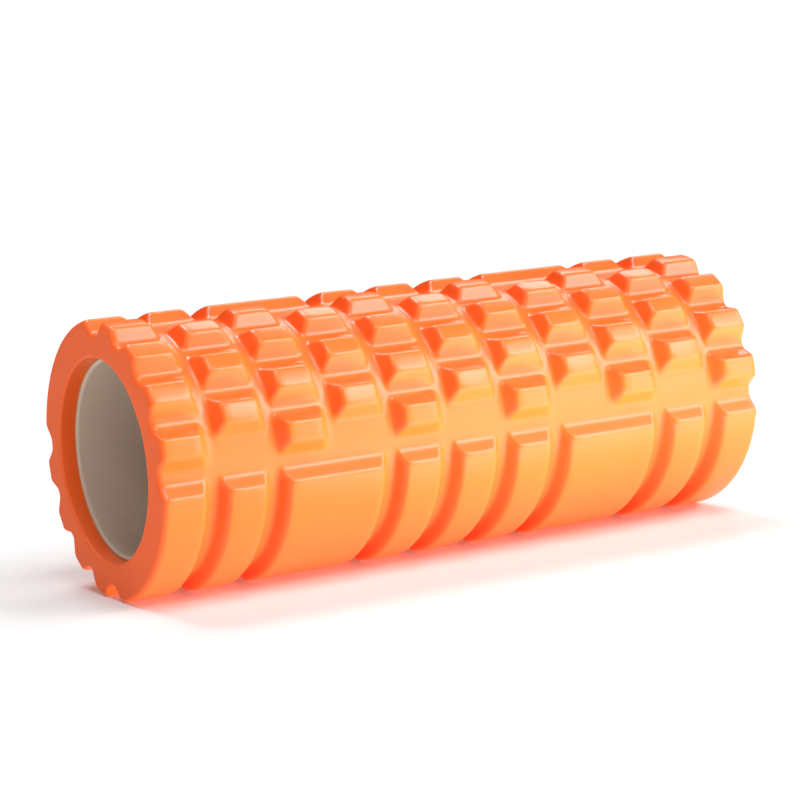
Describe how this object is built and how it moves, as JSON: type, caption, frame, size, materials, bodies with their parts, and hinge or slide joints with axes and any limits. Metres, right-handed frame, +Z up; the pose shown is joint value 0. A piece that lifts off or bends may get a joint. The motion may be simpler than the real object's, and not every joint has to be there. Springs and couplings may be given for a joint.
{
  "type": "foam roller",
  "caption": "Cylindrical massage roller: an orange moulded foam sleeve with long fins and staggered blocks, bonded on a hollow rigid core tube set back behind soft foam lips.",
  "frame": {"origin": "middle of the roller's axis, half way along its length", "axes": "+X along the roller's axis, +Z up. Angles round the axis start at -Y and turn up towards +Z: the block zones lie from about -1 to 89 degrees and from 179 to 269 degrees, the fin zones between them, so that the roller rests on the two edges of its lowest groove."},
  "size_m": [0.33, 0.1304, 0.1298],
  "materials": {
    "eva_foam": "orange closed-cell EVA foam with a smooth moulded skin, satin",
    "contact_adhesive": "thin dried amber contact adhesive",
    "abs_tube": "extruded grey-beige ABS, matte with faint lengthwise drawing lines"
  },
  "bodies": {
    "root": {"foam_sleeve": "eva_foam", "bond_film": "contact_adhesive", "core_tube": "abs_tube"}
  },
  "joints": []
}
